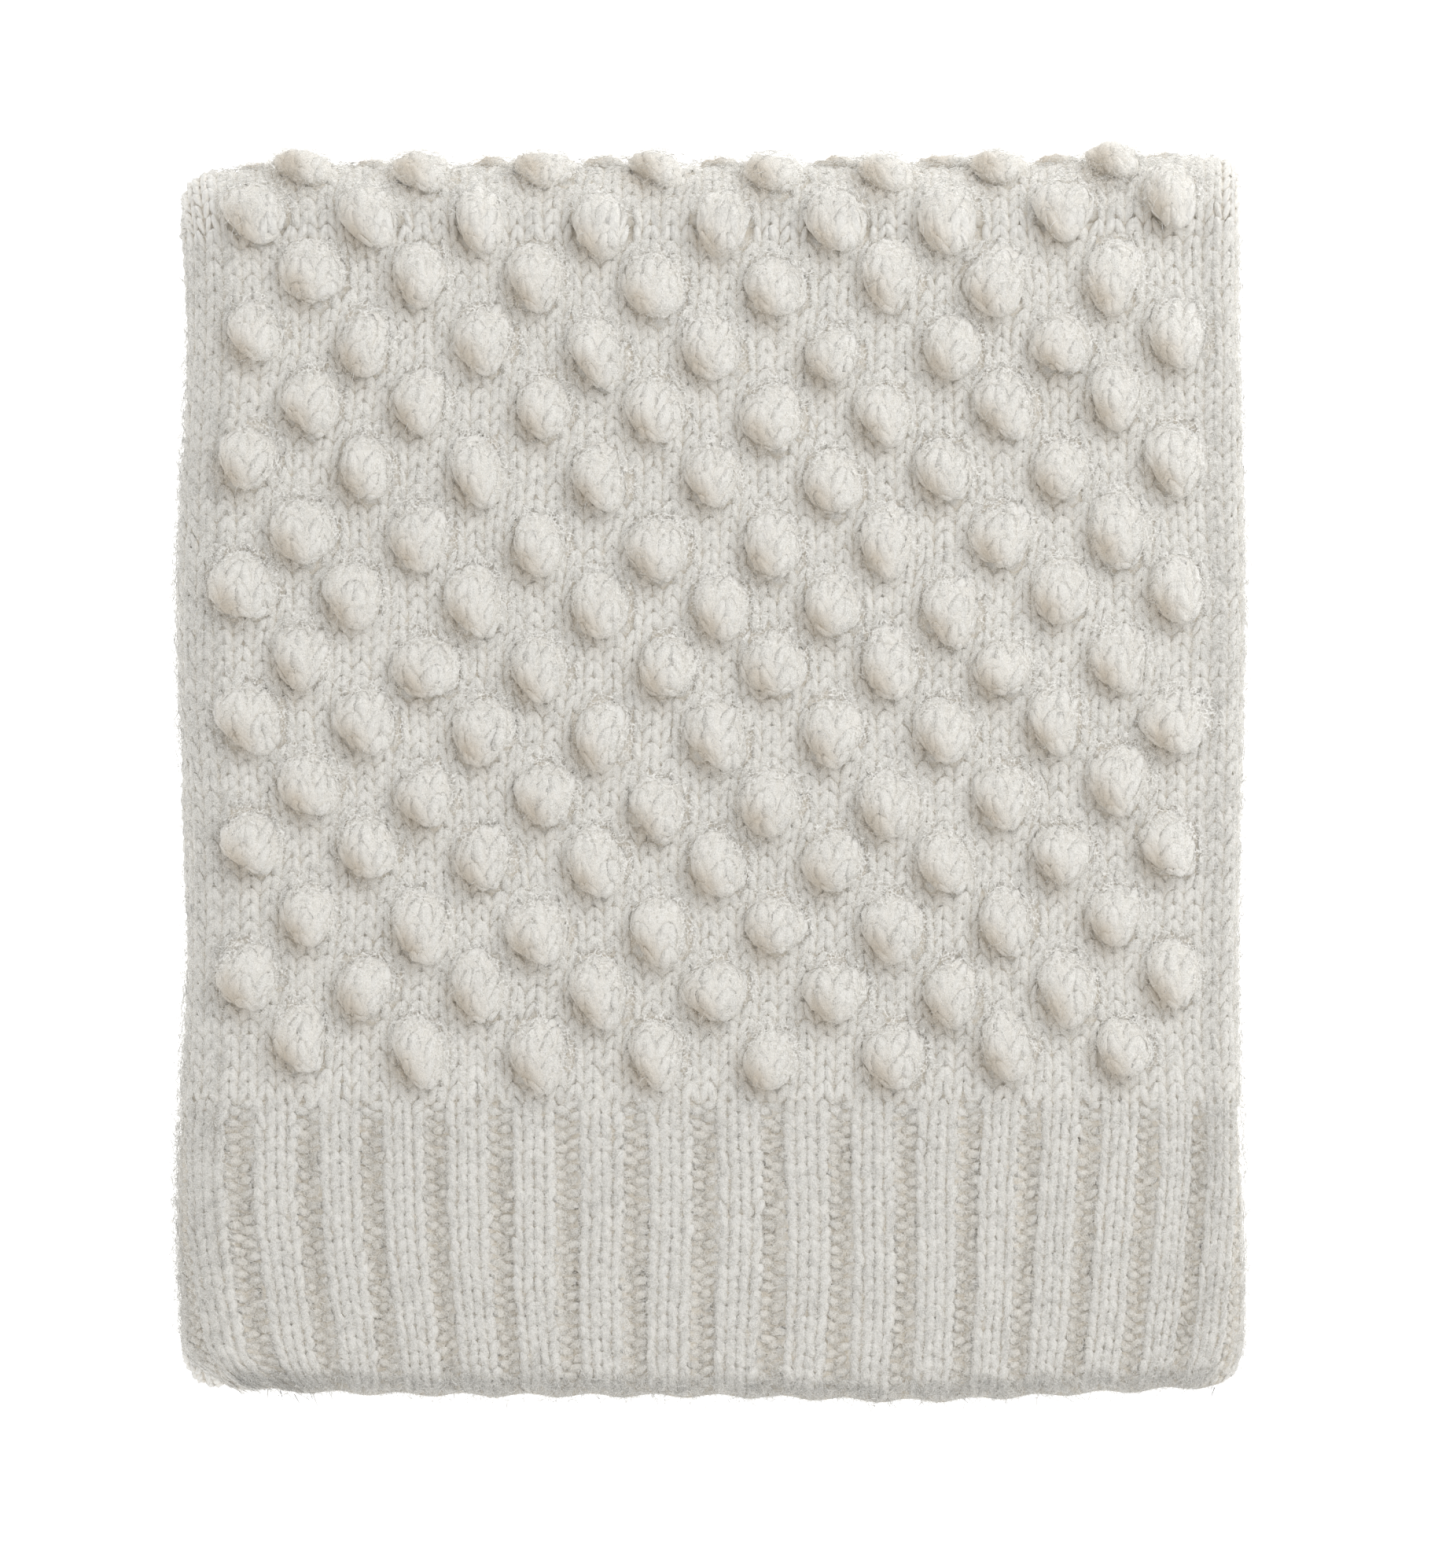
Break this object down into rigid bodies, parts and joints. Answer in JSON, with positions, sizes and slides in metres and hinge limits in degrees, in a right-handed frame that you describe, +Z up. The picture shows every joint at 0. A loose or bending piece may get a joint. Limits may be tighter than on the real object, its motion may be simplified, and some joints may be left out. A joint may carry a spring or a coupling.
{
  "type": "folded throw blanket",
  "caption": "Chunky bobble-knit throw blanket with ribbed hems, folded in thirds both ways into a nine-layer rectangle that unfolds at two hinges.",
  "frame": {"origin": "under the middle of the folded pile, on its underside", "axes": "+Z up through the pile, +Y along the folded length from the front ribbed hem to the top fold, +X across the width"},
  "size_m": [0.442, 0.514, 0.0952],
  "materials": {
    "wool_knit": "fuzzy brushed wool, matt",
    "wool_rib": "fuzzy brushed wool, matt, ribbed",
    "label_satin": "plain woven satin, slight sheen"
  },
  "bodies": {
    "bottom_section": {"bottom_centre": "wool_knit", "bottom_right_wing": "wool_knit", "bottom_left_wing": "wool_knit", "bottom_right_fold": "wool_knit", "bottom_left_fold": "wool_knit", "back_hem_centre": "wool_rib", "back_hem_right_wing": "wool_rib", "back_hem_left_wing": "wool_rib", "back_hem_right_fold": "wool_rib", "back_hem_left_fold": "wool_rib"},
    "middle_section": {"middle_centre": "wool_knit", "middle_right_wing": "wool_knit", "middle_left_wing": "wool_knit", "middle_right_fold": "wool_knit", "middle_left_fold": "wool_knit", "bottom_fold_centre": "wool_knit", "bottom_fold_right_wing": "wool_knit", "bottom_fold_left_wing": "wool_knit"},
    "top_section": {"top_centre": "wool_knit", "top_right_wing": "wool_knit", "top_left_wing": "wool_knit", "top_right_fold": "wool_knit", "top_left_fold": "wool_knit", "front_hem_centre": "wool_rib", "front_hem_right_wing": "wool_rib", "front_hem_left_wing": "wool_rib", "front_hem_right_fold": "wool_rib", "front_hem_left_fold": "wool_rib", "top_fold_left_wing": "wool_knit", "top_fold_right_wing": "wool_knit", "top_fold_centre": "wool_knit", "care_label": "label_satin"}
  },
  "joints": [
    {"name": "bottom_fold_hinge", "type": "hinge", "parent": "bottom_section", "child": "middle_section", "pos_m": [0, -0.2445, 0.02835], "axis": [1, 0, 0], "range_deg": [0, 180], "deforming": ["bottom_fold_centre", "bottom_fold_right_wing", "bottom_fold_left_wing"]},
    {"name": "top_fold_hinge", "type": "hinge", "parent": "middle_section", "child": "top_section", "pos_m": [0, 0.2445, 0.05685], "axis": [-1, 0, 0], "range_deg": [0, 180], "deforming": ["top_fold_left_wing", "top_fold_right_wing", "top_fold_centre"]}
  ]
}
